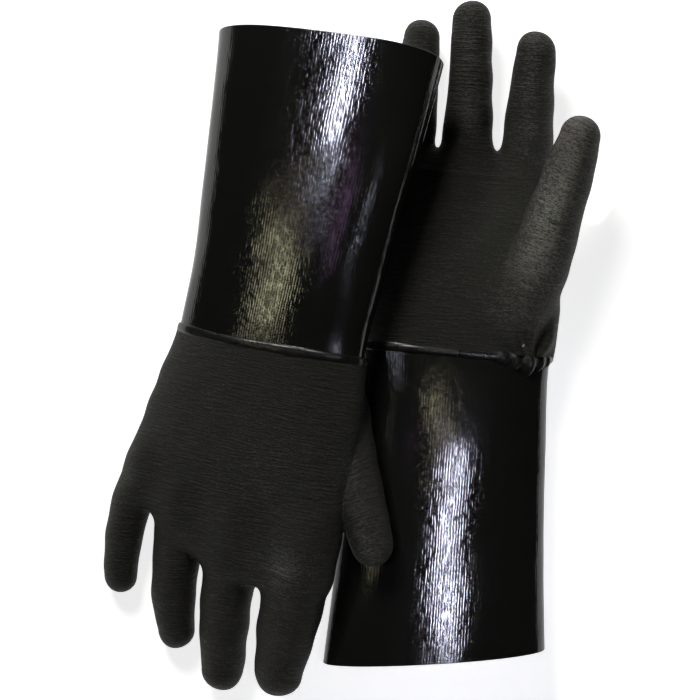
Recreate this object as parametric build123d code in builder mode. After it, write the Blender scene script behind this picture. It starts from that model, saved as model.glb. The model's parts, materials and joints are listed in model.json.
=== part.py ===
from build123d import *
from dataclasses import dataclass
from math import cos, radians, sin
import os

# A pair of right-hand gauntlet gloves: a cotton knit lining dipped in black rubber.
#
# The coating is smooth on the gauntlet and rough on the hand, where it laps over the gauntlet's neck.
# The lower glove lies on its back with the palm up. The upper glove lies across it with the palm down and
# its fingers the other way. The row frame has +Z up and its origin under the middle of the pair.
#
# Each glove has its own frame: origin at the middle of the wrist on the back of the hand, +X to the thumb
# side, +Y to the fingertips and +Z from the back of the hand to the palm.

# ---- layers, in millimetres, from the outside in
COAT = 1.2  # rubber coating
GAP = 0.1  # play between the coating and the lining, and where one coating laps another
LINING = 0.8  # cotton knit
SEAM = 1.4  # seam allowance inside the wrist

# ---- gauntlet
GAUNTLET_LENGTH = 168.0
GAUNTLET_END_WIDTH = 120.0
GAUNTLET_END_HEIGHT = 47.0
WRIST_WIDTH = 103.0
WRIST_HEIGHT = 40.0
WRIST_LAP = 7.0  # the hand's coating runs this far over the gauntlet's neck
NECK_STEP = COAT + GAP  # the gauntlet is that much narrower under the lap
SEAM_WIDTH = 5.0

# ---- hand
PALM_AT = 50.0  # middle of the palm, from the wrist
PALM_WIDTH = 115.0
PALM_HEIGHT = 35.0
PALM_SHIFT = -5.5  # how far the palm's middle lies from the glove's axis, minus towards the little finger
KNUCKLE_AT = 98.0
KNUCKLE_SLANT = 7.0  # the finger roots run forward towards the thumb side, in degrees
KNUCKLE_WIDTH = 130.0
KNUCKLE_HEIGHT = 35.0
KNUCKLE_SHIFT = -11.5
SEAM_LEVEL = 15.0  # height of the side seam between the lining's back and palm panels
BEND_LENGTH = 24.0  # the stretch of a finger that bends, with its hinge in the middle
BELLY_LEVEL = 0.44  # height of an outline's widest line, as a share of the outline's height


@dataclass
class Stall:
    """One finger of the glove: where it stands on the knuckle line, its length and its radii."""

    across: float
    length: float
    root_radius: float
    tip_radius: float


STALLS = {
    "index": Stall(across=31.0, length=79.0, root_radius=13.6, tip_radius=11.2),
    "middle": Stall(across=-2.5, length=89.0, root_radius=13.6, tip_radius=10.8),
    "ring": Stall(across=-34.0, length=80.0, root_radius=13.0, tip_radius=10.3),
    "little": Stall(across=-61.0, length=62.0, root_radius=10.6, tip_radius=9.3),
}

# ---- thumb: radii by distance along its axis, from a dome inside the palm to the tip
THUMB_ROOT = (37.0, 30.0, 31.0)
THUMB_LENGTH = 96.0
THUMB_ROOT_RADIUS = 17.5
THUMB_BURIED = 29.5 - THUMB_ROOT_RADIUS  # centre of the buried dome, behind the root point
THUMB_NECK_AT = 50.0
THUMB_NECK_RADIUS = 13.2
THUMB_TIP_RADIUS = 11.4


@dataclass
class Pose:
    """How one glove lies: its frame, its fingers' angles in degrees, and its free fingers' hinges."""

    frame: Plane
    trim: float  # slant of the gauntlet's cut end
    splay: dict  # towards the thumb side
    curl: dict  # towards the palm
    thumb_free_at: float  # the thumb stands clear of the palm from this distance on
    hinge_at: dict  # from each free finger's root to its hinge


def tilted_frame(origin, heading, roll, pitch, palm_up):
    """A glove's frame on the table. Heading is its finger direction from +Y towards +X, roll lifts the
    thumb side, and pitch lifts the fingertips."""
    fingers = Vector(sin(radians(heading)), cos(radians(heading)), 0)
    up = Vector(0, 0, 1)
    thumb = fingers.cross(up) if palm_up else up.cross(fingers)
    thumb = thumb * cos(radians(roll)) + up * sin(radians(roll))
    fingers = (fingers * cos(radians(pitch)) + up * sin(radians(pitch))).normalized()
    fingers = (fingers - thumb * fingers.dot(thumb)).normalized()
    return Plane(origin=origin, x_dir=thumb, z_dir=thumb.cross(fingers))


LOWER_X = 24.41 + 0.33 * WRIST_WIDTH  # the lower gauntlet stays beside the upper glove's thumb
UPPER_Z = 35.125 + 1.25 * THUMB_ROOT_RADIUS  # the upper glove rests on the root of its thumb
POSES = {
    "lower": Pose(
        frame=tilted_frame((LOWER_X, 1.6, 0.0), heading=4.3, roll=0.0, pitch=0.0, palm_up=True),
        trim=7.0,
        splay={"index": -1.5, "middle": -2.4, "ring": 1.0, "little": 6.0, "thumb": 16.0},
        curl={"index": 14.0, "middle": 5.0, "ring": 0.0, "little": 0.0, "thumb": 12.0},
        thumb_free_at=43.0,
        hinge_at={"index": 18.0, "middle": 21.0, "thumb": 67.0},
    ),
    "upper": Pose(
        frame=tilted_frame((-48.0, 0.0, UPPER_Z), heading=190.8, roll=17.0, pitch=-4.2, palm_up=False),
        trim=-5.0,
        splay={"index": 1.0, "middle": 4.5, "ring": 8.5, "little": 1.0, "thumb": 30.0},
        curl={"index": 7.0, "middle": 11.0, "ring": 11.0, "little": 6.0, "thumb": -14.0},
        thumb_free_at=56.0,
        hinge_at={"index": 38.0, "middle": 42.0, "ring": 38.0, "little": 20.0, "thumb": 68.0},
    ),
}


# ---------------------------------------------------------------- places and outlines


def point(frame, x, y, z=0.0):
    """A point of a glove's frame, in the row frame."""
    return frame.from_local_coords(Vector(x, y, z))


def direction(frame, x, y, z):
    """A direction of a glove's frame, in the row frame."""
    return (frame.x_dir * x + frame.y_dir * y + frame.z_dir * z).normalized()


def cross_plane(frame, x, y, slant=0.0):
    """A plane across the glove at y, standing on the back of the hand, with its y axis towards the palm."""
    c, s = cos(radians(slant)), sin(radians(slant))
    return Plane(origin=point(frame, x, y), x_dir=direction(frame, c, s, 0), z_dir=direction(frame, s, -c, 0))


def gauntlet_size(y):
    """Width and height of the gauntlet's outside at y, which is negative."""
    share = -y / GAUNTLET_LENGTH
    width = WRIST_WIDTH + (GAUNTLET_END_WIDTH - WRIST_WIDTH) * share
    height = WRIST_HEIGHT + (GAUNTLET_END_HEIGHT - WRIST_HEIGHT) * share
    return width, height


def oval(plane, width, height, inset=0.0):
    """An oval with a flat underside that stands on the plane's x axis, drawn in by inset all round."""
    belly = BELLY_LEVEL * height
    with BuildSketch(plane) as outline:
        with Locations((0, belly)):
            Ellipse(width / 2 - inset, height - belly - inset)
        with Locations((0, inset)):
            Rectangle(width, height, align=(Align.CENTER, Align.MAX), mode=Mode.SUBTRACT)
    return outline.sketch


def gauntlet_ovals(pose, start, end, inset):
    """The gauntlet's outline at start and end, drawn in by inset. The cut end has the pose's trim."""
    ovals = []
    for y in (start, end):
        trim = pose.trim if y == -GAUNTLET_LENGTH else 0.0
        ovals.append(oval(cross_plane(pose.frame, 0, y, trim), *gauntlet_size(y), inset))
    return ovals


def hand_ovals(pose, inset):
    """The hand's outline at the wrist, the palm and the knuckles, where it stands back by inset."""
    wrist = oval(cross_plane(pose.frame, 0, 0), WRIST_WIDTH, WRIST_HEIGHT, inset)
    palm = oval(cross_plane(pose.frame, PALM_SHIFT, PALM_AT), PALM_WIDTH, PALM_HEIGHT, inset)
    knuckles = oval(knuckle_plane(pose, -inset), KNUCKLE_WIDTH, KNUCKLE_HEIGHT, inset)
    return [wrist, palm, knuckles]


def knuckle_plane(pose, forward=0.0):
    """The plane that the finger roots stand on, moved forward along its normal."""
    s, c = sin(radians(KNUCKLE_SLANT)), cos(radians(KNUCKLE_SLANT))
    return cross_plane(pose.frame, KNUCKLE_SHIFT - s * forward, KNUCKLE_AT + c * forward, KNUCKLE_SLANT)


def stall_axis(pose, finger):
    """Where a finger's axis starts on the knuckle plane, and its direction."""
    splay, curl = radians(pose.splay[finger]), radians(pose.curl[finger])
    ahead = direction(pose.frame, sin(splay) * cos(curl), cos(splay) * cos(curl), sin(curl))
    if finger == "thumb":
        return point(pose.frame, *THUMB_ROOT), ahead
    stall = STALLS[finger]
    slope = sin(radians(KNUCKLE_SLANT)) / cos(radians(KNUCKLE_SLANT))
    along = KNUCKLE_AT + (stall.across - KNUCKLE_SHIFT) * slope
    return point(pose.frame, stall.across, along, BELLY_LEVEL * KNUCKLE_HEIGHT), ahead


def plane_on_axis(pose, finger, at):
    """The plane square to a finger's axis at that distance from its root, with its normal towards the tip."""
    root, ahead = stall_axis(pose, finger)
    return Plane(origin=root + ahead * at, x_dir=hinge_direction(pose, finger), z_dir=ahead)


def hinge_direction(pose, finger):
    """The axis that a finger bends about: a positive turn takes it towards the palm."""
    return stall_axis(pose, finger)[1].cross(pose.frame.z_dir).normalized()


# ---------------------------------------------------------------- fingers


def profile_plane(pose, finger):
    """The plane of a finger's lengthwise outline: y runs along its axis and x is the distance from it."""
    root, ahead = stall_axis(pose, finger)
    hinge = hinge_direction(pose, finger)
    return Plane(origin=root, x_dir=hinge, z_dir=hinge.cross(ahead))


def thumb_outline(inset):
    """Half the thumb's outline: a buried dome, a cone to the neck, a cone to the tip and the tip's dome."""
    root, tip = THUMB_ROOT_RADIUS - inset, THUMB_TIP_RADIUS - inset
    dome_at = THUMB_LENGTH - THUMB_TIP_RADIUS
    with BuildLine() as outline:
        CenterArc((0, -THUMB_BURIED), root, -90, 90)
        Polyline((root, -THUMB_BURIED), (THUMB_NECK_RADIUS - inset, THUMB_NECK_AT), (tip, dome_at))
        CenterArc((0, dome_at), tip, 0, 90)
        Line((0, dome_at + tip), (0, -THUMB_BURIED - root))
    return outline.line


def stall_outline(stall, inset):
    """Half a finger's outline: a cone from behind the knuckle plane to the tip's dome."""
    root, tip = stall.root_radius - inset, stall.tip_radius - inset
    dome_at = stall.length - stall.tip_radius
    with BuildLine() as outline:
        Polyline((0, -stall.root_radius), (root, -stall.root_radius), (tip, dome_at))
        CenterArc((0, dome_at), tip, 0, 90)
        Line((0, dome_at + tip), (0, -stall.root_radius))
    return outline.line


def finger_solid(pose, finger, inset):
    """The whole finger as a solid of revolution, drawn in by inset."""
    outline = thumb_outline(inset) if finger == "thumb" else stall_outline(STALLS[finger], inset)
    with BuildPart() as solid:
        with BuildSketch(profile_plane(pose, finger)):
            with BuildLine():
                add(outline)
            make_face()
        revolve(axis=Axis(*stall_axis(pose, finger)))
    return solid.part


def finger_layer(pose, finger, outer_inset, inner_inset, start, end=None):
    """One layer of a finger between two planes. With no end it runs to the tip."""
    with BuildPart() as layer:
        add(finger_solid(pose, finger, outer_inset))
        add(finger_solid(pose, finger, inner_inset), mode=Mode.SUBTRACT)
        split(bisect_by=start, keep=Keep.TOP)
        if end is not None:
            split(bisect_by=end, keep=Keep.BOTTOM)
    return layer.part


def forward_knuckle_plane(pose, forward=0.0):
    """The knuckle plane with its normal towards the fingertips, to cut fingers with."""
    plane = knuckle_plane(pose, forward)
    return Plane(origin=plane.origin, x_dir=plane.x_dir, z_dir=-plane.z_dir)


# ---------------------------------------------------------------- hand


def hand_body(pose, inset):
    """The hand as a solid, drawn in by inset: the palm and the root of the thumb."""
    with BuildPart() as body:
        add(finger_solid(pose, "thumb", inset))
        split(bisect_by=plane_on_axis(pose, "thumb", pose.thumb_free_at), keep=Keep.BOTTOM)
        loft(sections=hand_ovals(pose, inset), ruled=True)
    return body.part


def finger_hole(pose, finger, inset):
    """The plug to cut away where a finger opens into the palm, through the whole end wall."""
    reach = 2 * (COAT + GAP + LINING)
    with BuildPart() as hole:
        add(finger_solid(pose, finger, inset))
        split(bisect_by=forward_knuckle_plane(pose, -reach), keep=Keep.TOP)
        split(bisect_by=forward_knuckle_plane(pose, COAT), keep=Keep.BOTTOM)
    return hole.part


def build_hand_coat(pose):
    """The rough coating of the hand, with the lap over the gauntlet and a hole for each finger."""
    with BuildPart() as coat:
        add(hand_body(pose, 0))
        loft(sections=gauntlet_ovals(pose, -WRIST_LAP, 0, 0), ruled=True)
        add(hand_body(pose, COAT), mode=Mode.SUBTRACT)
        loft(sections=gauntlet_ovals(pose, -WRIST_LAP, 0, COAT), ruled=True, mode=Mode.SUBTRACT)
        for finger in STALLS:
            add(finger_hole(pose, finger, COAT), mode=Mode.SUBTRACT)
    return coat.part


def build_hand_lining(pose, keep):
    """The lining's back panel (keep bottom) or its palm panel with the thumb's root (keep top)."""
    outer, inner = COAT + GAP, COAT + GAP + LINING
    with BuildPart() as lining:
        add(hand_body(pose, outer))
        add(hand_body(pose, inner), mode=Mode.SUBTRACT)
        for finger in STALLS:
            add(finger_hole(pose, finger, inner), mode=Mode.SUBTRACT)
        split(bisect_by=pose.frame.offset(SEAM_LEVEL), keep=keep)
    return lining.part


# ---------------------------------------------------------------- gauntlet


def gauntlet_body(pose, inset):
    """The gauntlet as a solid, drawn in by inset, with its narrower neck under the hand's coating."""
    neck_at = -WRIST_LAP - inset
    with BuildPart() as body:
        loft(sections=gauntlet_ovals(pose, -GAUNTLET_LENGTH, neck_at, inset), ruled=True)
        loft(sections=gauntlet_ovals(pose, neck_at, 0, inset + NECK_STEP), ruled=True)
    return body.part


def build_gauntlet_layer(pose, outer_inset, inner_inset):
    """One tube of the gauntlet, from its cut end to the wrist."""
    with BuildPart() as tube:
        add(gauntlet_body(pose, outer_inset))
        add(gauntlet_body(pose, inner_inset), mode=Mode.SUBTRACT)
    return tube.part


def build_wrist_seam(pose, outer_inset):
    """The seam allowance: a band inside the neck, where the gauntlet's lining is sewn to the hand's."""
    outside = gauntlet_ovals(pose, -SEAM_WIDTH, 0, outer_inset)
    inside = gauntlet_ovals(pose, -SEAM_WIDTH, 0, outer_inset + SEAM)
    with BuildPart() as band:
        loft(sections=outside, ruled=True)
        loft(sections=inside, ruled=True, mode=Mode.SUBTRACT)
    return band.part


# ---------------------------------------------------------------- a whole glove


def build_glove(name, pose):
    """Every piece of one glove, by node name."""
    inner = COAT + GAP
    lined = inner + LINING
    pieces = {
        f"{name}_gauntlet_coat": build_gauntlet_layer(pose, 0, COAT),
        f"{name}_gauntlet_lining": build_gauntlet_layer(pose, inner, lined),
        f"{name}_wrist_seam": build_wrist_seam(pose, lined + NECK_STEP + GAP),
        f"{name}_hand_coat": build_hand_coat(pose),
        f"{name}_hand_lining_back": build_hand_lining(pose, Keep.BOTTOM),
        f"{name}_hand_lining_palm": build_hand_lining(pose, Keep.TOP),
    }
    for finger in (*STALLS, "thumb"):
        coat_start = forward_knuckle_plane(pose)
        lining_start = forward_knuckle_plane(pose, -inner)
        if finger == "thumb":
            coat_start = lining_start = plane_on_axis(pose, finger, pose.thumb_free_at)
        if finger in pose.hinge_at:
            bend_end = plane_on_axis(pose, finger, pose.hinge_at[finger] + BEND_LENGTH / 2)
            with BuildPart() as knuckle:
                add(finger_layer(pose, finger, 0, COAT, coat_start, bend_end))
                add(finger_layer(pose, finger, inner, lined, lining_start, bend_end))
            pieces[f"{name}_{finger}_knuckle"] = knuckle.part
            coat_start = lining_start = bend_end
        pieces[f"{name}_{finger}_coat"] = finger_layer(pose, finger, 0, COAT, coat_start)
        pieces[f"{name}_{finger}_lining"] = finger_layer(pose, finger, inner, lined, lining_start)
    return pieces


def build_pair():
    """Both gloves, by node name, and the step that brings the middle of their base to the origin."""
    pieces = {}
    for name, pose in POSES.items():
        pieces.update(build_glove(name, pose))
    box = Compound(children=[piece.moved(Location()) for piece in pieces.values()]).bounding_box()
    middle = box.center()
    return pieces, Location((-middle.X, -middle.Y, -box.min.Z))


pieces, to_origin = build_pair()
os.makedirs("parts", exist_ok=True)
for node, piece in pieces.items():
    placed = piece.moved(to_origin)
    placed.label = node
    export_step(placed, f"parts/{node}.step")
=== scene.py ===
import json
import bmesh
import bpy
import numpy as np
from mathutils import Matrix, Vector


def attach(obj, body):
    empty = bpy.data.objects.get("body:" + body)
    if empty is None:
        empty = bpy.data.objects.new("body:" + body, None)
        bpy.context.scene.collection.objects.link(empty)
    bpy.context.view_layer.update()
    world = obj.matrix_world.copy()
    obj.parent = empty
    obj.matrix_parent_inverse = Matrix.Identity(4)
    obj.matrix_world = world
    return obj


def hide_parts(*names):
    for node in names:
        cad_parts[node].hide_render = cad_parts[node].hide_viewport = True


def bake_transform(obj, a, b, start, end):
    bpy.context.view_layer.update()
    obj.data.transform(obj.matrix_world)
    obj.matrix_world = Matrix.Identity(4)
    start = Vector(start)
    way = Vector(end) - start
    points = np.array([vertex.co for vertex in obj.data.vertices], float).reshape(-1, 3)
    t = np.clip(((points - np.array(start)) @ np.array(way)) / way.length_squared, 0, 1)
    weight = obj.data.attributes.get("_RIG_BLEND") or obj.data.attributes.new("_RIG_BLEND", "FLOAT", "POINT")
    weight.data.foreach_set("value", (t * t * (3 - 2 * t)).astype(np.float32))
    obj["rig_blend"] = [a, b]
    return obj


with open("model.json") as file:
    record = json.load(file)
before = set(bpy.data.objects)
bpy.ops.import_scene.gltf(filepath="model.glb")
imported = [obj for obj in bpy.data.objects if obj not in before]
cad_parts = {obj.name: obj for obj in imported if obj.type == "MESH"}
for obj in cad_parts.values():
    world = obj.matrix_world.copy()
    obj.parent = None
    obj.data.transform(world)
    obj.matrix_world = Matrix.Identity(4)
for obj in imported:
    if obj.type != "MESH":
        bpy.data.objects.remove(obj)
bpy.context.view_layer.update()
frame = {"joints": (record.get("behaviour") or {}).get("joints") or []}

# ---------------------------------------------------------------- where the gloves lie
# A pair of right-hand gauntlet gloves on a table, each a knit lining dipped in black rubber.
# Each glove has its own frame in millimetres: origin at the wrist on the back of the hand,
# +X to the thumb, +Y to the fingertips and +Z from the back of the hand to the palm.

MM = 0.001
# Where each bending finger's hinge stands in its glove's own frame.
HINGE_PLACES = {
    "lower": {"index": (30.543, 120.678, 19.755), "middle": (-3.376, 120.007, 17.23),
              "thumb": (55.064, 92.997, 44.93)},
    "upper": {"index": (31.658, 140.929, 20.031), "middle": (0.735, 140.206, 23.414),
              "ring": (-28.486, 132.129, 22.651), "little": (-60.653, 111.81, 17.491),
              "thumb": (69.99, 87.14, 14.549)},
}


def glove_place(name):
    """The glove's frame, from the places that the record gives its hinges: the rotation and the
    shift that carry the hinges' own points onto those with the least squared distance."""
    found = {j["name"]: np.array(j["pos_m"]) for j in frame["joints"] if j.get("pos_m")}
    own = np.array(list(HINGE_PLACES[name].values())) * MM
    real = np.array([found[f"{name}_{finger}_bend"] for finger in HINGE_PLACES[name]])
    u, _, vt = np.linalg.svd((own - own.mean(0)).T @ (real - real.mean(0)))
    turn = u @ np.diag([1, 1, np.sign(np.linalg.det(u @ vt))]) @ vt
    return turn, real.mean(0) - own.mean(0) @ turn


PLACES = {name: glove_place(name) for name in HINGE_PLACES}


def to_row(name, points):
    """Points of a glove's own frame, in millimetres, as points of the row frame, in metres."""
    turn, shift = PLACES[name]
    return np.asarray(points, float) * MM @ turn + shift


# ---------------------------------------------------------------- hand coats
# The hand is rough black rubber: the knit shape is dipped, and the wet coat is roughened for grip.
# Palm, web and thumb are one skin on the glove's own body. The fingers that can bend are the same
# skin, parted in a ring past the web and blended over their hinges.

# The palm's edges at stations along the hand, how square its outline is, and the line of the web.
HANDS = {
    "lower": {
        "stations": (-10, 0, 22, 50, 75, 95, 125),
        "left": (-52.5, -53, -57, -62, -67, -71, -74),
        "right": (51, 52.3, 52.5, 50, 47.5, 45, 44),
        "back": (0, 0, 0, 0.3, 0.8, 1.6, 7),
        "palm": (39, 38.5, 36, 34, 32.5, 30.5, 23),
        "roundness": 2.5,
        "web": ((-75, 93), (-49, 96), (-17.7, 106), (13.8, 106), (30, 104), (48, 96)),
    },
    "upper": {
        "stations": (-10, 0, 20, 48, 75, 97, 135),
        "left": (-54.5, -55, -59.5, -65.5, -71, -75.5, -77),
        "right": (52.5, 53.5, 56, 56, 55.5, 55, 54.5),
        "back": (0, 0, 0, 0, 0.5, 2, 8),
        "palm": (39, 38.5, 36, 34.5, 33, 31, 23),
        "roundness": 2.3,
        "web": ((-77, 92), (-51.9, 96.5), (-34, 106), (-18.8, 118.5), (0, 124), (18.8, 125.5),
                (50, 122)),
    },
}
# Each finger: where its axis starts, the axis's turn to the thumb side and to the palm in degrees,
# and how much flatter it is front to back than wide. Then come stations along the axis, the skin's
# radius and its drift sideways at each. The last station is the centre of the tip.
FINGERS = {
    "lower": {
        "index": ((30.2, 98, 15.6), 0, 12, 1.06,
                  (0, 18, 42, 66.5), (14.4, 13.9, 12.4, 10.9), (0, 0, 0, 0.2)),
        "middle": ((-1.5, 98, 15.4), -2.6, 5, 1.04,
                   (0, 15, 42, 81), (14.6, 14.1, 12.4, 10.6), (0, -0.2, 0.3, 0)),
        "ring": ((-34, 97, 15.0), 1.8, 0, 1.04,
                 (0, 25, 48, 71), (13.6, 13.2, 12.0, 10.2), (0, 0, -0.4, 0.2)),
        "little": ((-62, 90, 14.0), 4, 0, 1.02,
                   (-10, 10, 22, 46), (9.5, 11.2, 10.8, 9.4), (6, 0.6, 0, 0)),
        "thumb": ((35.4, 28, 29), 12.9, 12.0, 1.05,
                  (-20, 0, 25, 50, 77, 93), (13.5, 16.9, 16.8, 15.2, 13.2, 11.2),
                  (5, 0.5, 0.3, 0, 0.2, 0)),
    },
    "upper": {
        "index": ((37, 98, 15.6), -3.5, 7, 1.22,
                  (0, 20, 45, 74.5), (18.3, 18.0, 17.0, 13.4), (0, 0.4, 0, 0)),
        "middle": ((-3.4, 98, 15.4), 1.2, 11, 1.08,
                   (0, 30, 60, 82.5), (14.6, 14.4, 13.6, 11.6), (0, -0.6, -1.1, 0)),
        "ring": ((-35, 96, 15.2), 3.6, 11, 1.05,
                 (0, 28, 50, 68.5), (13.6, 13.1, 12.1, 10.2), (0, -1.6, -2.6, -0.3)),
        "little": ((-65.6, 90, 15.0), 0, 6, 1.02,
                   (-10, 10, 22, 36, 49.5), (9.5, 11.2, 10.6, 9.8, 9.0), (7, 0.8, -0.4, -0.9, 0)),
        "thumb": ((40, 28, 31.5), 28, -10, 1.32,
                  (0, 20, 40, 62, 73.5), (16.8, 15.0, 13.6, 12.5, 11.4), (0, 0, 0, 0, 0)),
    },
}
# Over how wide a strip two skins run into each other: the palm's sides and its front, neighbouring
# fingers, and the fingers and the palm.
FRONT_BLEND, FINGER_BLEND, WEB_BLEND = 9.0, 2.0, 8.0
# The thumb runs into the palm over a width that shrinks from its root to its first joint.
THUMB_BLEND = {"lower": ((0, 30), (12.0, 2.5)), "upper": ((0, 28), (7.0, 1.6))}
ROOT_OVERRUN = 8  # how far a finger's tube goes on behind its first station
TABLE_FLAT, TABLE_BLEND = 0.25, 2.0  # where the lower hand is pressed flat, and the edge's rounding
WAVE_HEIGHT, SEAM_HEIGHT, FOLD_HEIGHT = 0.28, 1.0, 2.2
SEAM_AT, SEAM_WIDTH, SEAM_HALF_LENGTH = 93.5, 1.2, 29
FOLDS_FROM = (40, -9)
COAT = 1.2


def curve(x, stations, values):
    """A smooth curve through values at stations: cubic between neighbours, sloped at each station
    as the line between the stations beside it, and flat outside the first and the last."""
    xs, ys = np.array(stations, float), np.array(values, float)
    slope = np.gradient(ys, xs)
    x = np.clip(x, xs[0], xs[-1])
    i = np.clip(np.searchsorted(xs, x) - 1, 0, len(xs) - 2)
    h = xs[i + 1] - xs[i]
    t = (x - xs[i]) / h
    ends = ys[i] * (1 + 2 * t) * (1 - t) ** 2 + ys[i + 1] * t * t * (3 - 2 * t)
    return ends + h * (slope[i] * t * (1 - t) ** 2 - slope[i + 1] * t * t * (1 - t))


def soft_min(a, b, width):
    """The smaller of a and b, rounded where they differ by less than width."""
    h = np.clip(0.5 + 0.5 * (b - a) / width, 0, 1)
    return b + (a - b) * h - width * h * (1 - h)


def finger_axes(name, finger):
    """A finger's root and its three directions: across, ahead and towards the palm."""
    root, splay, curl = FINGERS[name][finger][:3]
    s, c = np.radians(splay), np.radians(curl)
    ahead = np.array([np.sin(s) * np.cos(c), np.cos(s) * np.cos(c), np.sin(c)])
    across = np.array([np.cos(s), -np.sin(s), 0])
    return np.array(root, float), across, ahead, np.cross(across, ahead)


def finger_field(name, finger, p):
    """Distance from a finger's skin: the distance from its drifting axis, flattened front to back,
    less its radius there. Past the tip's centre and behind the root it is a ball."""
    root, across, ahead, up = finger_axes(name, finger)
    flat, stations, radii, drift = FINGERS[name][finger][3:]
    d = p - root
    along = d @ ahead
    side = d @ across - curve(along, stations, drift)
    past = np.maximum(along - stations[-1], 0) + np.maximum(stations[0] - ROOT_OVERRUN - along, 0)
    return np.sqrt(side ** 2 + (flat * (d @ up)) ** 2 + past ** 2) - curve(along, stations, radii)


def palm_field(name, p):
    """Distance from the palm's skin: at each station a rounded box outline between the left and
    right edges and between the back and the palm, closed in front by the curved line of the web."""
    hand = HANDS[name]
    x, y, z = p[:, 0], p[:, 1], p[:, 2]
    edges = ("left", "right", "back", "palm")
    left, right, back, palm = (curve(y, hand["stations"], hand[edge]) for edge in edges)
    dx, dz = x - (left + right) / 2, z - (back + palm) / 2
    n = hand["roundness"]
    q = (np.abs(2 * dx / (right - left)) ** n + np.abs(2 * dz / (palm - back)) ** n) ** (1 / n)
    q = np.maximum(q, 1e-3)
    sides = np.hypot(dx, dz) * (1 - 1 / q)
    front = y - curve(x, *zip(*hand["web"]))
    return -soft_min(-sides, -front, FRONT_BLEND)


def relief(name, p):
    """Height of the skin's slack waves over the dipped shape: two products of long sines in
    crossing directions, rising from nothing near the wrist. The lower palm also has the raised seam
    under the fingers, a bell curve across a slightly bowed line. The folds of the thumb's root fan
    out from the knot at the wrist: a cosine of the direction from it, strongest 18 mm away."""
    x, y, z = p[:, 0], p[:, 1], p[:, 2]
    phase = 0.0 if name == "lower" else 2.1
    waves = np.sin(0.13 * x + 0.21 * y + phase) * np.sin(0.17 * x - 0.11 * y + 0.1 * z + 1 + phase)
    waves += 0.7 * np.sin(0.31 * y + 0.09 * x + 2 + phase) * np.sin(0.19 * x + 0.12 * z + phase)
    waves = WAVE_HEIGHT * waves * np.clip((y - 6) / 20, 0, 1)
    if name == "upper":
        return waves
    palm_side, thumb_side = np.clip((z - 17) / 6, 0, 1), np.clip((z - 27) / 7, 0, 1)
    seam = np.exp(-((y - SEAM_AT - 0.0016 * x ** 2) / SEAM_WIDTH) ** 2)
    seam = seam * np.clip((SEAM_HALF_LENGTH - abs(x + 1.5)) / 3, 0, 1)
    across, ahead = x - FOLDS_FROM[0], y - FOLDS_FROM[1]
    away, turn = np.hypot(across, ahead), np.arctan2(across, ahead)
    folds = np.cos(9.5 * turn + 0.6) * np.exp(-((away - 18) / 20) ** 2) * np.clip(away / 12, 0, 1)
    return waves + palm_side * SEAM_HEIGHT * seam + thumb_side * FOLD_HEIGHT * folds


def hand_field(name, p):
    """Distance from the whole hand's skin: the palm, the four fingers and the thumb, each run
    smoothly into the next, less the slack waves. The lower hand is pressed flat on the table."""
    four = [finger_field(name, f, p) for f in ("index", "middle", "ring", "little")]
    fingers = four[0]
    for other in four[1:]:
        fingers = soft_min(fingers, other, FINGER_BLEND)
    skin = soft_min(palm_field(name, p), fingers, WEB_BLEND)
    root, _, ahead, _ = finger_axes(name, "thumb")
    width = curve((p - root) @ ahead, *THUMB_BLEND[name])
    skin = soft_min(skin, finger_field(name, "thumb", p), width)
    skin = skin - relief(name, p)
    if name == "lower":
        skin = -soft_min(-skin, p[:, 2] - TABLE_FLAT, TABLE_BLEND)
    return skin


def field_slope(field, p, step=0.05):
    """The gradient of a field, by differences of step each way."""
    steps = np.eye(3) * step
    return np.stack([(field(p + s) - field(p - s)) / (2 * step) for s in steps], 1)


def surface_net(field, low, high, pitch):
    """The zero surface of a field as points and quads, on a cubic grid. Each cell that the surface
    crosses gets one point, the mean of the crossings on its edges. Each crossed edge gets the quad
    of its four cells, turned so that it faces out of the negative side."""
    axes = [np.arange(low[i], high[i] + pitch, pitch) for i in range(3)]
    nodes = np.stack(np.meshgrid(*axes, indexing="ij"), -1)
    f = field(nodes.reshape(-1, 3)).reshape(nodes.shape[:3])
    cells = tuple(n - 1 for n in f.shape)
    total, count = np.zeros((3, *cells)), np.zeros(cells)
    quads = []
    for axis in range(3):
        a = np.moveaxis(f, axis, 0)[:-1]
        b = np.moveaxis(f, axis, 0)[1:]
        spot = np.argwhere((a < 0) != (b < 0))
        fa, fb = a[tuple(spot.T)], b[tuple(spot.T)]
        others = [i for i in range(3) if i != axis]
        index = np.empty_like(spot)
        index[:, axis], index[:, others[0]], index[:, others[1]] = spot.T
        inside = np.all([(index[:, o] > 0) & (index[:, o] < cells[o]) for o in others], 0)
        index, fa, fb = index[inside], fa[inside], fb[inside]
        at = index.astype(float)
        at[:, axis] += fa / (fa - fb)
        around = []
        for shift in ((0, 0), (1, 0), (1, 1), (0, 1)):
            cell = index.copy()
            cell[:, others[0]] -= shift[0]
            cell[:, others[1]] -= shift[1]
            flat = np.ravel_multi_index(tuple(cell.T), cells)
            around.append(flat)
            size = count.size
            count += np.bincount(flat, minlength=size).reshape(cells)
            for i in range(3):
                total[i] += np.bincount(flat, weights=at[:, i], minlength=size).reshape(cells)
        quad = np.stack(around, 1)
        turned = (fa < 0) == (axis == 1)
        quad[turned] = quad[turned][:, ::-1]
        quads.append(quad)
    used = count.ravel() > 0
    number = np.cumsum(used) - 1
    points = (total.reshape(3, -1)[:, used] / count.ravel()[used]).T * pitch + np.array(low)
    return points, number[np.concatenate(quads)]


LEAST_SLOPE, LONGEST_STEP = 0.1, 0.7


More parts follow.
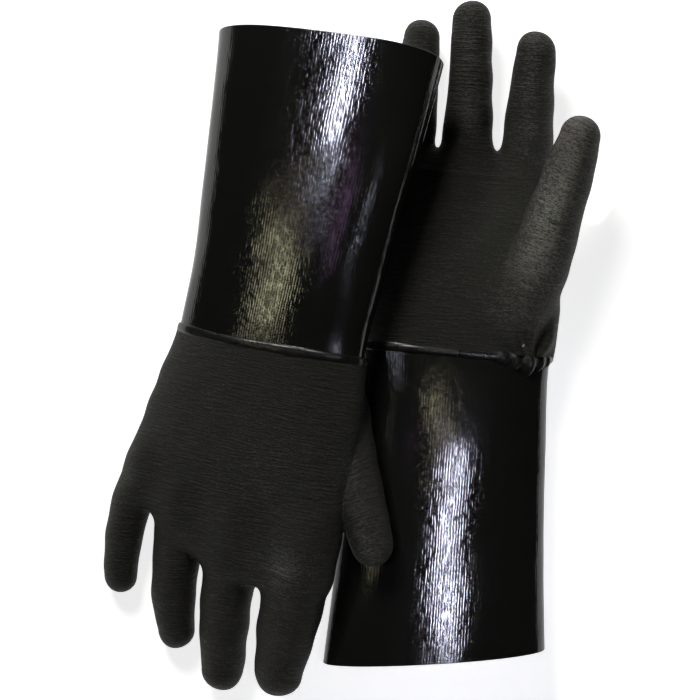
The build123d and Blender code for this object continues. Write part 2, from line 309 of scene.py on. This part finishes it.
def settle(field, points, quads, rounds=2):
    """Moves a net's points onto the surface, down the field's gradient, then evens the net out in
    rounds: each point goes half way to the mean of its quads' corners, then back to the surface."""
    for done in range(rounds + 1):
        if done:
            mean = np.zeros_like(points)
            for i in range(3):
                corner_sum = points[quads, i].sum(1)
                mean[:, i] = np.bincount(quads.ravel(), np.repeat(corner_sum, 4), len(points))
            shared = np.bincount(quads.ravel(), minlength=len(points)) * 4
            points = points * 0.5 + 0.5 * mean / shared[:, None]
        for _ in range(2):
            slope = field_slope(field, points)
            step = field(points) / np.maximum((slope ** 2).sum(1), LEAST_SLOPE)
            points = points - slope * np.clip(step, -LONGEST_STEP, LONGEST_STEP)[:, None]
    return points


# Where each bending finger's own skin starts and where its bend ends, along its axis.
BENDS = {
    "lower": {"index": (12.5, 37.5), "middle": (12, 37), "thumb": (68, 88)},
    "upper": {"index": (32, 57), "middle": (32.5, 57.5), "ring": (27, 52), "little": (10.5, 33.5),
              "thumb": (60.5, 76)},
}
# How much painted light each place gets, a painted highlight on the thumb, the finger tops and
# the knuckle: down each finger (size, half width and shift sideways), on patches (x, y, radius and
# size) and at rest everywhere else.
PAINTED_LIGHT_SPOTS = {
    "lower": {"rest": 0.1, "patches": ((30, 22, 15, 0.5), (44, 48, 14, 0.3), (-5, 45, 26, 0.12)),
              "index": (0.55, 7, -2), "middle": (0.5, 6.5, -1), "ring": (0.3, 7, 0),
              "little": (0.2, 7, 0), "thumb": (0.95, 11, -4)},
    "upper": {"rest": 0.12, "patches": ((31, 112, 13, 0.55), (15, 60, 34, 0.22)),
              "index": (0.12, 9, 0), "middle": (0.1, 9, 0), "ring": (0, 9, 0),
              "little": (0, 9, 0), "thumb": (0.45, 9, 0)},
}
NET_LOW, NET_HIGH = (-90, -7, -6), (95, 200, 66)
RUBBER_PITCH = 1.4
WRIST_CUT = -2.0
CUT_REACH, CUT_SNAP = 5, 0.01  # how near a finger's cut its faces are tried, and points snap to it


def part_skin(name, points, quads):
    """Parts a net into the skins of the palm and of each bending finger: each finger is cut clean
    across its axis where its own skin starts. Returns points, faces and each face's region, which
    is 0 for the palm."""
    mesh = bpy.data.meshes.new("net")
    mesh.from_pydata(points, [], quads.tolist())
    bm = bmesh.new()
    bm.from_mesh(mesh)
    bpy.data.meshes.remove(mesh)
    bmesh.ops.bisect_plane(bm, geom=bm.verts[:] + bm.edges[:] + bm.faces[:],
                           plane_co=(0, WRIST_CUT, 0), plane_no=(0, 1, 0), clear_inner=True)
    fingers = list(FINGERS[name])
    for finger, (start, _) in BENDS[name].items():
        root, _, ahead, _ = finger_axes(name, finger)
        co = np.array([v.co for v in bm.verts])
        fields = np.stack([finger_field(name, f, co) for f in fingers])
        mine = fields.argmin(0) == fingers.index(finger)
        near = mine & (abs((co - root) @ ahead - start) < CUT_REACH)
        verts = {v for v, chosen in zip(bm.verts, near) if chosen}
        faces = [f for f in bm.faces if all(v in verts for v in f.verts)]
        edges = {e for f in faces for e in f.edges}
        geom = faces + list(edges) + list({v for f in faces for v in f.verts})
        bmesh.ops.bisect_plane(bm, geom=geom, plane_co=root + ahead * start, plane_no=ahead,
                               dist=CUT_SNAP)
    bmesh.ops.triangulate(bm, faces=[f for f in bm.faces if len(f.verts) > 4])
    points = np.array([v.co for v in bm.verts])
    faces = [[v.index for v in f.verts] for f in bm.faces]
    bm.free()
    middles = np.array([points[f].mean(0) for f in faces])
    fields = np.stack([finger_field(name, f, middles) for f in fingers])
    region = np.zeros(len(faces), int)
    for number, (finger, (start, _)) in enumerate(BENDS[name].items(), 1):
        root, _, ahead, _ = finger_axes(name, finger)
        mine = (fields.argmin(0) == fingers.index(finger)) & ((middles - root) @ ahead > start)
        region[mine] = number
    return points, faces, region


def grain_lines(name, p):
    """The direction of the knit at each point, as a place in a straightened glove: the distance
    along the hand, turned smoothly along each finger, and the distances across and up. The palm's
    share and each finger's fall off over a few millimetres from its skin."""
    weights = [np.exp(-np.maximum(palm_field(name, p), 0) / 5)]
    lengths = [p[:, 1]]
    for finger in FINGERS[name]:
        root, _, ahead, _ = finger_axes(name, finger)
        along = (p - root) @ ahead
        nearness = np.exp(-np.maximum(finger_field(name, finger, p), 0) / 3)
        weights.append(nearness * np.clip(along / 30, 0, 3))
        lengths.append(root[1] + along)
    weights = np.stack(weights)
    along = (weights * np.stack(lengths)).sum(0) / weights.sum(0)
    return np.stack([p[:, 0], along, p[:, 2]], 1)


def mesh_object(name, points, faces, sharp=()):
    """A mesh object from points in metres and faces. Sharp is pairs of points whose edges stay
    crisp."""
    mesh = bpy.data.meshes.new(name)
    mesh.from_pydata(points, [], faces)
    mesh.update(calc_edges=True)
    if len(sharp):
        pairs = np.zeros(len(mesh.edges) * 2, int)
        mesh.edges.foreach_get("vertices", pairs)
        pairs = np.sort(pairs.reshape(-1, 2), 1)
        keys = np.sort(np.asarray(sharp), 1)
        crisp = np.isin(pairs @ (len(points), 1), keys @ (len(points), 1))
        mesh.attributes.new("sharp_edge", "BOOLEAN", "EDGE").data.foreach_set("value", crisp)
    made = bpy.data.objects.new(name, mesh)
    bpy.context.scene.collection.objects.link(made)
    return made


def painted_light_parts(name, p):
    """How much painted light lightens the coat, from 0 to 1, a painted highlight: most on the thumb and
    down the middle of the fingers, least in the hollow of the palm. Each place fades as a bell curve."""
    spots = PAINTED_LIGHT_SPOTS[name]
    # Painted highlight: a base level everywhere, raised down each finger and on the patches.
    painted_light = np.full(len(p), spots["rest"])
    for finger in FINGERS[name]:
        root, across, ahead, _ = finger_axes(name, finger)
        along, side = (p - root) @ ahead, (p - root) @ across
        near = np.exp(-np.maximum(finger_field(name, finger, p), 0) / 5) * np.clip(along / 25, 0, 1)
        size, width, middle = spots[finger]
        painted_light += size * near * np.exp(-((side - middle) / width) ** 2)
    for x, y, radius, size in spots["patches"]:
        painted_light += size * np.exp(-((p[:, 0] - x) ** 2 + (p[:, 1] - y) ** 2) / radius ** 2)
    return np.clip(painted_light, 0, 1)


def skin_object(label, name, field, points, faces, thickness):
    """One skin with real thickness: the net and a copy of it moved inwards along the field's
    gradient, joined by a rim along every open edge."""
    used, faces_flat = np.unique(np.concatenate(faces), return_inverse=True)
    points = points[used]
    sizes = np.array([len(f) for f in faces])
    faces = [list(f) for f in np.split(faces_flat, np.cumsum(sizes)[:-1])]
    slope = field_slope(field, points)
    normal = slope / np.linalg.norm(slope, axis=1)[:, None]
    count = len(points)
    one_way = np.array([(f[i - 1], f[i]) for f in faces for i in range(len(f))])
    codes = one_way @ (count, 1)
    rim = one_way[~np.isin(codes, one_way[:, ::-1] @ (count, 1))]
    walls = np.stack([rim[:, 1], rim[:, 0], rim[:, 0] + count, rim[:, 1] + count], 1)
    inner = [[v + count for v in reversed(f)] for f in faces]
    whole = np.concatenate([points, points - normal * thickness])
    sharp = np.concatenate([rim, rim + count])
    made = mesh_object(label, to_row(name, whole), faces + inner + walls.tolist(), sharp)
    attributes = made.data.attributes
    grain = np.tile(grain_lines(name, points), (2, 1)).astype(np.float32)
    attributes.new("grain", "FLOAT_VECTOR", "POINT").data.foreach_set("vector", grain.ravel())
    # Painted light per point: a painted highlight that lightens the thumb, finger tops and knuckle.
    painted_light = np.tile(painted_light_parts(name, points), 2).astype(np.float32)
    attributes.new("painted_light", "FLOAT", "POINT").data.foreach_set("value", painted_light)
    return made


def hand_pieces(name, pitch, depth, thickness, kind):
    """The palm's and each bending finger's skins of one layer, which lies at a depth below the
    hand's face and is bent over the hinges."""
    def field(p):
        return hand_field(name, p) + depth

    points, quads = surface_net(field, NET_LOW, NET_HIGH, pitch)
    points, faces, region = part_skin(name, settle(field, points, quads), quads)
    pieces = {}
    for number, part in enumerate(["hand", *BENDS[name]]):
        mine = [f for f, r in zip(faces, region) if r == number]
        piece = skin_object(f"{name}_{part}_{kind}", name, field, points, mine, thickness)
        if part == "hand":
            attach(piece, f"{name}_glove")
        else:
            root, _, ahead, _ = finger_axes(name, part)
            start, end = (to_row(name, root + ahead * at) for at in BENDS[name][part])
            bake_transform(piece, f"{name}_glove", f"{name}_{part}", start=start, end=end)
        pieces[part] = piece
    return pieces


class Wire:
    """A shader socket that takes part in sums: each operator adds a Math node."""

    def __init__(self, tree, socket):
        self.tree, self.socket = tree, socket

    def math(self, operation, *others):
        """A Math node of this socket and the others."""
        return add_node(self.tree, "ShaderNodeMath", {"operation": operation}, (self, *others))

    def __add__(self, other):
        return self.math("ADD", other)

    def __sub__(self, other):
        return self.math("SUBTRACT", other)

    def __rsub__(self, other):
        return add_node(self.tree, "ShaderNodeMath", {"operation": "SUBTRACT"}, (other, self))

    def __mul__(self, other):
        return self.math("MULTIPLY", other)

    __radd__, __rmul__ = __add__, __mul__

    def between(self, low, high):
        """0 below low, 1 above high and a smooth step between."""
        settings = {"interpolation_type": "SMOOTHSTEP", "clamp": True}
        return add_node(self.tree, "ShaderNodeMapRange", settings, {0: self, 1: low, 2: high})


def add_node(tree, kind, settings, inputs, output=0):
    """One shader node: its settings first, then the values and links of its sockets, by place or
    name."""
    node = tree.nodes.new(kind)
    for key, value in settings.items():
        setattr(node, key, value)
    pairs = inputs.items() if isinstance(inputs, dict) else enumerate(inputs)
    for key, value in pairs:
        if isinstance(value, Wire):
            tree.links.new(value.socket, node.inputs[key])
        else:
            node.inputs[key].default_value = value
    return Wire(tree, node.outputs[output])


def new_finish(label, **fixed):
    """A material with one Principled shader, its constant sockets set, and its node tree."""
    material = bpy.data.materials.new(label)
    material.use_nodes = True
    tree = material.node_tree
    shader = tree.nodes["Principled BSDF"]
    for key, value in fixed.items():
        shader.inputs[key.replace("_", " ")].default_value = value
    return material, tree, shader


def stretched(tree, vector, scale):
    """The vector with each of its parts multiplied."""
    return add_node(tree, "ShaderNodeVectorMath", {"operation": "MULTIPLY"}, {0: vector, 1: scale})


def noise(tree, vector, scale, detail, roughness=0.55):
    """Cloudy noise from 0 to 1 at a vector, with that many features a unit."""
    inputs = {"Vector": vector, "Scale": scale, "Detail": detail, "Roughness": roughness}
    return add_node(tree, "ShaderNodeTexNoise", {}, inputs)


def mixed(tree, share, first, second):
    """A colour between two colours, by share."""
    inputs = {0: share, 6: (*first, 1), 7: (*second, 1)}
    return add_node(tree, "ShaderNodeMix", {"data_type": "RGBA"}, inputs, output=2)


def finish_with(tree, shader, colour, roughness, height, relief_depth):
    """Feeds a shader its colour and roughness, and a bump of that depth in metres."""
    tree.links.new(colour.socket, shader.inputs["Base Color"])
    tree.links.new(roughness.socket, shader.inputs["Roughness"])
    inputs = {"Strength": 1.0, "Distance": relief_depth, "Height": height}
    bump = add_node(tree, "ShaderNodeBump", {}, inputs)
    tree.links.new(bump.socket, shader.inputs["Normal"])


def rough_rubber():
    """Matt black rubber over knit. Fine crinkles run across the hand and round each finger, because
    the knit under the coat stretches lengthwise, with a sandy grain and specks where the coat is thin.
    The light specks are partly the grain's own colour and partly painted glints along the crinkles.
    The more painted light a place gets, the lighter its specks, which paints highlights on the thumb
    and fingers."""
    material, tree, shader = new_finish("rough_rubber", Specular_IOR_Level=0.5,
                                        Specular_Tint=(1.0, 0.98, 0.90, 1))
    place = add_node(tree, "ShaderNodeAttribute", {"attribute_name": "grain"}, {}, output=1)
    # The painted light per point, read from the skin.
    painted_light = add_node(tree, "ShaderNodeAttribute", {"attribute_name": "painted_light"}, {}, output=2)
    wide = noise(tree, stretched(tree, place, (0.03, 0.05, 0.03)), 1.0, 2.0)
    crinkle = noise(tree, stretched(tree, place, (0.10, 0.85, 0.10)), 1.0, 4.0, 0.6)
    thread = noise(tree, stretched(tree, place, (0.5, 1.9, 0.5)), 1.0, 2.0, 0.6)
    sand = noise(tree, place, 1.5, 3.0, 0.7)
    height = crinkle * 1.2 + thread * 0.45 + sand * 0.35
    # Share of painted highlight at each place, made patchy by the wide noise.
    lit_share = painted_light * (wide * 0.8 + 0.6)
    # Light specks: partly the sandy grain's own colour, partly painted glints on the crinkles and where
    # painted light falls.
    grain_and_glints = (thread * 0.45 + sand * 0.35 + crinkle * 0.2 + lit_share * 0.12).between(0.52, 0.68)
    black, sand_and_glint = (0.0040, 0.0039, 0.0026), (0.105, 0.104, 0.094)
    # The lighter colour paints highlights and glints onto the black: more painted light turns more specks
    # light.
    colour = mixed(tree, grain_and_glints * (lit_share * 0.85 + 0.15), black, sand_and_glint)
    rough = 0.66 - grain_and_glints * 0.22 - crinkle.between(0.5, 0.75) * 0.1
    finish_with(tree, shader, colour, rough, height, relief_depth=0.0016)
    return material


def still_fingers(name):
    """The fingers that can't bend, which are part of the hand's own skin."""
    return [finger for finger in FINGERS[name] if finger not in BENDS[name]]


ROUGH_RUBBER = rough_rubber()
for glove in ("lower", "upper"):
    hands = hand_pieces(glove, RUBBER_PITCH, 0.0, COAT, "rubber")
    for part, piece in hands.items():
        piece.data.materials.append(ROUGH_RUBBER)
        if part == "hand":
            fixed = still_fingers(glove)
            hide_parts(f"{glove}_hand_coat", *(f"{glove}_{f}_coat" for f in fixed))
        else:
            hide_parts(f"{glove}_{part}_coat", f"{glove}_{part}_knuckle")

# ---------------------------------------------------------------- knit linings of the hands
# Inside the rubber is a napped cotton knit, cut as a back and a palm panel and sewn to shape before
# it is dipped. The coat soaks into it, so it lies close under the rubber everywhere.

LINING_DEPTH, LINING = 1.3, 0.8
KNIT_PITCH = 2.6


def cotton_knit():
    """Off-white cotton knit: rows of small loops in columns, a little fuzzy and uneven."""
    material, tree, shader = new_finish("cotton_knit", Specular_IOR_Level=0.2)
    place = add_node(tree, "ShaderNodeAttribute", {"attribute_name": "grain"}, {}, output=1)
    across = add_node(tree, "ShaderNodeSeparateXYZ", {}, {0: place}, output=0)
    along = add_node(tree, "ShaderNodeSeparateXYZ", {}, {0: place}, output=1)
    columns = (across * 3.9).math("SINE") * 0.5 + 0.5
    rows = (along * 4.8 + columns * 1.6).math("SINE") * 0.5 + 0.5
    fuzz = noise(tree, place, 2.2, 4.0, 0.7)
    loops = columns * 0.6 + rows * 0.4
    colour = mixed(tree, loops * 0.6 + fuzz * 0.4, (0.40, 0.37, 0.30), (0.70, 0.67, 0.58))
    rough = fuzz * 0.1 + 0.85
    finish_with(tree, shader, colour, rough, loops + fuzz * 0.5, relief_depth=0.0003)
    return material


COTTON_KNIT = cotton_knit()
for glove in ("lower", "upper"):
    linings = hand_pieces(glove, KNIT_PITCH, LINING_DEPTH, LINING, "knit")
    for part, piece in linings.items():
        piece.data.materials.append(COTTON_KNIT)
        if part == "hand":
            fixed = still_fingers(glove)
            panels = (f"{glove}_hand_lining_back", f"{glove}_hand_lining_palm")
            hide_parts(*panels, *(f"{glove}_{f}_lining" for f in fixed))
        else:
            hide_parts(f"{glove}_{part}_lining")

# ---------------------------------------------------------------- gauntlets
# Each gauntlet is a tube of ribbed knit dipped in smooth glossy rubber, widening from the wrist to
# the elbow and cut off straight. The knit's ribs show through the gloss as broken lines.

# The tube's edges and its squareness at stations from the cut to the wrist. The cut is slanted, in
# degrees, and leans back by a share of the height. Wander shifts the dents from glove to glove.
GAUNTLETS = {
    "lower": {
        "stations": (-169, -144, -112, -75, -36, -12, 0),
        "left": (-60.3, -58.6, -56.6, -54.6, -52.6, -52.0, -52.4),
        "right": (60.0, 58.2, 55.9, 53.6, 51.9, 51.0, 51.4),
        "back": (0.3, 0.3, 0.3, 0.3, 0.3, 0.3, 0.5),
        "palm": (46.5, 45.6, 44.2, 42.6, 40.6, 38.6, 37.4),
        "roundness": (2.05, 2.05, 2.05, 2.1, 2.2, 2.4, 2.5),
        "slant": 7.7,
        "lean": -0.05,
        "wander": 0.4,
    },
    "upper": {
        "stations": (-165, -144, -112, -75, -36, -12, 0),
        "left": (-60.2, -58.4, -56.2, -53.9, -52.2, -53.0, -53.6),
        "right": (66.0, 64.2, 61.2, 57.2, 53.6, 51.9, 52.2),
        "back": (0, 0, 0, 0, 0, 0.3, 0.5),
        "palm": (47, 46, 44.5, 42.5, 40.5, 38.6, 37.4),
        "roundness": (2.4, 2.4, 2.4, 2.4, 2.35, 2.3, 2.3),
        "slant": -1.4,
        "lean": 0.27,
        "wander": 1.9,
    },
}
RIBS = 176
DENT = 0.2
MIDWAY = -80.0  # half way along, where the outline is measured to space the tube's points
LIP_STEPS = 5
COAT_START, LINING_START = -1.0, 0.0  # both start inside the hand, under its lap
LINING_OUTSIDE, LINING_INSIDE = COAT + 0.05, COAT + 0.9


def outline(shape, angle, y, inset):
    """A rounded box outline around the glove at y: x and z are powers of the angle's cosine and
    sine, between the edges at that station, drawn in by inset."""
    parts = ("left", "right", "back", "palm", "roundness")
    left, right, back, palm, roundness = (curve(y, shape["stations"], shape[p]) for p in parts)
    c, s = np.cos(angle), np.sin(angle)
    power = 2 / roundness
    x = (left + right) / 2 + ((right - left) / 2 - inset) * np.sign(c) * np.abs(c) ** power
    z = (back + palm) / 2 + ((palm - back) / 2 - inset) * np.sign(s) * np.abs(s) ** power
    return x, z


def even_angles(shape, count):
    """Angles that step evenly along the outline: the running length of a fine outline, read
    backwards."""
    fine = np.linspace(0, 2 * np.pi, 4001)
    x, z = outline(shape, fine, np.full_like(fine, MIDWAY), 0)
    run = np.concatenate([[0], np.cumsum(np.hypot(np.diff(x), np.diff(z)))])
    return np.interp(np.arange(count) / count * run[-1], run, fine)


def slack(shape, angle, y):
    """How far the soft wall stands in or out, in millimetres: three products of sines round and
    along the tube, each finer and shallower, fading out at the wrist."""
    w = shape["wander"]
    dents = np.sin(2 * angle + 0.030 * y + w) * np.sin(0.037 * y + 3 * angle + 2 * w)
    dents += 0.5 * np.sin(5 * angle - 0.05 * y + w) * np.sin(0.061 * y + w)
    dents += 0.22 * np.sin(9 * angle + 0.11 * y) * np.sin(0.09 * y + 4 * angle)
    return DENT * dents * np.clip(-y / 30, 0, 1)


def tube(label, name, outside, inside, start, around=288, along=110):
    """One layer of the gauntlet: outer and inner walls, each an outline carried from start to the
    slanted cut end, joined by a rounded lip at the cut and a flat rim at the wrist."""
    shape = GAUNTLETS[name]
    angle = even_angles(shape, around)
    share = np.linspace(0, 1, along)
    lip = np.linspace(0, np.pi, LIP_STEPS + 2)[1:-1]
    middle, half = (outside + inside) / 2, (inside - outside) / 2
    rounded = middle - half * np.cos(lip)
    insets = np.concatenate([np.full(along, outside), rounded, np.full(along, inside)])
    reach = np.concatenate([share, np.ones(LIP_STEPS), share[::-1]])
    bulge = np.concatenate([np.zeros(along), half * np.sin(lip), np.zeros(along)])
    last = shape["stations"][0]
    y = start + (last + half - start) * reach[:, None] * np.ones(around)
    x, z = outline(shape, angle[None, :], y, insets[:, None] - slack(shape, angle[None, :], y))
    cut = np.tan(np.radians(shape["slant"])) * x + shape["lean"] * (z - z.mean())
    y = y - bulge[:, None] + cut * reach[:, None] ** 3
    points = np.stack([x, y, z], -1)
    rows = len(reach)
    index = np.arange(rows * around).reshape(rows, around)
    beside = np.roll(index, -1, 1)
    faces = np.stack([index, beside, np.roll(beside, -1, 0), np.roll(index, -1, 0)], -1)
    made = mesh_object(label, to_row(name, points.reshape(-1, 3)), faces.reshape(-1, 4).tolist())
    corner = np.arange(around)[None, :, None] + np.array([0, 1, 1, 0])
    u = (corner / around) * np.ones((rows, 1, 1))
    beyond = np.roll(y, -1, 0)
    v = np.stack([y, np.roll(y, -1, 1), np.roll(beyond, -1, 1), beyond], -1) * MM
    weave = made.data.uv_layers.new(name="weave")
    weave.data.foreach_set("uv", np.stack([u, v], -1).astype(np.float32).ravel())
    return made


def glossy_rubber():
    """Smooth black rubber with the knit's ribs just showing: narrow ridges along the tube, broken
    into dashes, with faint puddles in the gloss."""
    material, tree, shader = new_finish("glossy_rubber", Specular_IOR_Level=0.5)
    weave = add_node(tree, "ShaderNodeUVMap", {"uv_map": "weave"}, {})
    across = add_node(tree, "ShaderNodeSeparateXYZ", {}, {0: weave}, output=0)
    place = add_node(tree, "ShaderNodeTexCoord", {}, {}, output=3)
    sway = noise(tree, stretched(tree, place, (90, 60, 90)), 1.0, 2.0)
    ribs = (across * (2 * np.pi * RIBS) + sway * 5.0).math("SINE") * 0.5 + 0.5
    broken = noise(tree, stretched(tree, place, (520, 170, 520)), 1.0, 3.0, 0.6)
    puddles = noise(tree, stretched(tree, place, (120, 45, 120)), 1.0, 3.0, 0.5)
    fine = noise(tree, place, 1500.0, 2.0, 0.5)
    dashes = ribs * (broken.between(0.38, 0.62) * 0.8 + 0.2)
    height = dashes * 0.55 + broken * 0.8 + puddles * 1.2 + fine * 0.06
    colour = mixed(tree, puddles, (0.0042, 0.0043, 0.0036), (0.0075, 0.0076, 0.0066))
    rough = puddles * 0.06 + broken * 0.04 + 0.07
    finish_with(tree, shader, colour, rough, height, relief_depth=0.00005)
    return material


GLOSSY_RUBBER = glossy_rubber()
for glove in ("lower", "upper"):
    coat = tube(f"{glove}_gauntlet_rubber", glove, 0.0, COAT, COAT_START)
    coat.data.materials.append(GLOSSY_RUBBER)
    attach(coat, f"{glove}_glove")
    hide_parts(f"{glove}_gauntlet_coat")
    lining = tube(f"{glove}_gauntlet_knit", glove, LINING_OUTSIDE, LINING_INSIDE, LINING_START,
                  around=192, along=60)
    lining.data.materials.append(COTTON_KNIT)
    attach(lining, f"{glove}_glove")
    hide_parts(f"{glove}_gauntlet_lining")

# ---------------------------------------------------------------- wrist bands
# The hand's coat laps over the gauntlet's neck at the wrist seam, and the rubber gathers there in a
# shiny ridge. On the lower glove the thumb's folds are caught in it and make a knot.

# The knot's lumps on the palm side: where each one lies across the glove, its width and its size.
KNOT = ((24.0, 2.6, 1.2), (30.5, 2.6, 3.0), (37.4, 3.4, 5.2), (44.0, 2.2, 3.2), (48.0, 1.8, 2.2))
BANDS = {"lower": (1.5, KNOT), "upper": (1.15, ())}
KNOT_ABOVE = 20  # the knot is on the palm side only, higher than this
TABLE_GAP = 0.12


def wrist_band(name, around=360, profile=20):
    """A ridge round the wrist: a flattened ring whose section is an ellipse, a little uneven by
    sines round the wrist, and thicker and lumpy where the thumb's folds are caught in the seam."""
    shape = GAUNTLETS[name]
    angle = even_angles(shape, around)[:, None]
    turn = np.linspace(0, 2 * np.pi, profile, endpoint=False)[None, :]
    flat_y = np.full_like(angle, WRIST_CUT)
    x, z = outline(shape, angle, flat_y, -0.2)
    x1, z1 = outline(shape, angle, flat_y, -1.2)
    out = np.stack([x1 - x, z1 - z], -1)
    out /= np.linalg.norm(out, axis=-1)[..., None]
    ridge, knot = BANDS[name]
    palm_side = z > KNOT_ABOVE
    lumps = (size * np.exp(-((x - at) / wide) ** 2) * palm_side for at, wide, size in knot)
    lump = sum(lumps, 0 * x)
    uneven = 0.18 * np.sin(7 * angle + 1) + 0.12 * np.sin(17 * angle)
    height = ridge + uneven + lump * 0.72
    width = 2.6 + 0.3 * np.sin(5 * angle + 2) + lump * 0.9
    rise = height * np.cos(turn)
    middle = WRIST_CUT - 0.6 + 0.5 * np.sin(3 * angle + 0.6) - lump * 0.7
    y = middle + width * np.sin(turn)
    points = np.stack([x + out[..., 0] * rise, y, z + out[..., 1] * rise], -1)
    if name == "lower":
        points[..., 2] = np.maximum(points[..., 2], TABLE_GAP)
    index = np.arange(around * profile).reshape(around, profile)
    ahead = np.roll(index, -1, 0)
    faces = np.stack([index, np.roll(index, -1, 1), np.roll(ahead, -1, 1), ahead], -1)
    points = to_row(name, points.reshape(-1, 3))
    return mesh_object(f"{name}_wrist_band", points, faces.reshape(-1, 4).tolist())


def seam_rubber():
    """The same gloss as the gauntlet's, gathered: small lumps and no ribs."""
    material, tree, shader = new_finish("seam_rubber", Specular_IOR_Level=0.5)
    place = add_node(tree, "ShaderNodeTexCoord", {}, {}, output=3)
    lumps = noise(tree, place, 260.0, 3.0, 0.5)
    fine = noise(tree, place, 1300.0, 2.0, 0.5)
    colour = mixed(tree, lumps, (0.0046, 0.0047, 0.004), (0.0085, 0.0085, 0.0074))
    finish_with(tree, shader, colour, lumps * 0.2 + 0.2, lumps + fine * 0.12, relief_depth=0.0002)
    return material


SEAM_RUBBER = seam_rubber()
for glove in ("lower", "upper"):
    band = wrist_band(glove)
    band.data.materials.append(SEAM_RUBBER)
    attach(band, f"{glove}_glove")
    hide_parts(f"{glove}_wrist_seam")

# ---------------------------------------------------------------- table, lamps and camera
# The pair lies on a white table, seen from straight above. All lamps but the high one are narrow,
# so that each lights one place: a strip of one gauntlet, or one side of the lower thumb.

scene = bpy.context.scene
TABLE_HALF = 3.0
ROOM_LIGHT = 0.03


def white_table():
    """Plain white, lifted for the camera and in reflections so that it stays white away from
    shadows."""
    material, tree, shader = new_finish("white_table", Base_Color=(0.86, 0.86, 0.86, 1),
                                        Roughness=0.9, Specular_IOR_Level=0.0)
    path = tree.nodes.new("ShaderNodeLightPath")
    rays = ("Is Camera Ray", "Is Glossy Ray", "Is Transmission Ray")
    camera_ray, glossy_ray, through_ray = (Wire(tree, path.outputs[ray]) for ray in rays)
    white = (camera_ray + glossy_ray + through_ray).math("MINIMUM", 1.0) * 0.8
    glow = add_node(tree, "ShaderNodeEmission", {}, {"Color": white, "Strength": 1.0})
    both = add_node(tree, "ShaderNodeAddShader", {}, {0: Wire(tree, shader.outputs[0]), 1: glow})
    tree.links.new(both.socket, tree.nodes["Material Output"].inputs["Surface"])
    return material


corners = TABLE_HALF * np.array([(-1, -1, 0), (1, -1, 0), (1, 1, 0), (-1, 1, 0)])
table = mesh_object("table", corners, [[0, 1, 2, 3]])
table.data.materials.append(white_table())


def lamp(label, at, aim, size, power, colour, spread):
    """A soft rectangular lamp at a place, facing a point, its second size along +Y. Its light fans
    out by spread in degrees. Power is the watts of an unlimited lamp that is as bright straight
    ahead: the lamp gets it times one less half the spread over that half's tangent."""
    half = np.radians(spread / 2)
    data = bpy.data.lights.new(label, "AREA")
    data.shape, (data.size, data.size_y) = "RECTANGLE", size
    data.spread, data.energy, data.color = 2 * half, power * (1 - half / np.tan(half)), colour
    made = bpy.data.objects.new(label, data)
    back = np.array(at, float) - np.array(aim, float)
    back /= np.linalg.norm(back)
    side = np.cross((0, 1, 0), back)
    side /= np.linalg.norm(side)
    up = np.cross(back, side)
    columns = [(*axis, 0) for axis in (side, up, back)] + [(*at, 1)]
    made.matrix_world = Matrix(columns).transposed()
    scene.collection.objects.link(made)


COOL, WARM, OLIVE, PLUM = (0.78, 0.80, 1.0), (1.0, 0.99, 0.95), (1.0, 0.95, 0.62), (0.8, 0.45, 0.9)
# Each lamp: where it stands, the point it faces, its size, power, colour and spread.
LAMPS = {
    "strip_right": ((0.135, -0.13, 1.0), (0.05, -0.13, 0.04), (0.055, 0.22), 4.0, COOL, 17),
    "strip_left": ((-0.475, 0.23, 1.0), (-0.01, 0.17, 0.07), (0.05, 0.18), 5.0, COOL, 12),
    "window": ((-0.76, 0.02, 1.0), (-0.05, 0.04, 0.06), (0.10, 0.17), 0.7, OLIVE, 14),
    "streak": ((0.01, 0.06, 1.0), (0.045, -0.04, 0.04), (0.02, 0.12), 0.26, OLIVE, 8),
    "dusk": ((-0.24, 0.03, 1.0), (0.0, 0.05, 0.07), (0.08, 0.10), 0.11, PLUM, 10),
    "thumb_side": ((-0.75, 0.42, 0.80), (0.125, 0.065, 0.05), (0.08, 0.08), 26, WARM, 7),
    "high_top": ((-0.45, 1.20, 1.15), (0, 0, 0), (0.5, 0.45), 18, WARM, 180),
}
for label, setting in LAMPS.items():
    lamp(label, *setting)

world = bpy.data.worlds.new("room")
world.use_nodes = True
tree = world.node_tree
camera_ray = Wire(tree, tree.nodes.new("ShaderNodeLightPath").outputs["Is Camera Ray"])
room = mixed(tree, camera_ray, (ROOM_LIGHT,) * 3, (1.0, 1.0, 1.0))
tree.links.new(room.socket, tree.nodes["Background"].inputs["Color"])
scene.world = world

CAMERA_PLACE = (-0.00305, -0.00246, 1.120)
SENSOR, LENS = 36.0, 103.33
eye = bpy.data.cameras.new("camera")
eye.sensor_width, eye.lens = SENSOR, LENS
camera = bpy.data.objects.new("camera", eye)
camera.location = CAMERA_PLACE
scene.collection.objects.link(camera)
scene.camera = camera
scene.view_settings.view_transform = "Standard"
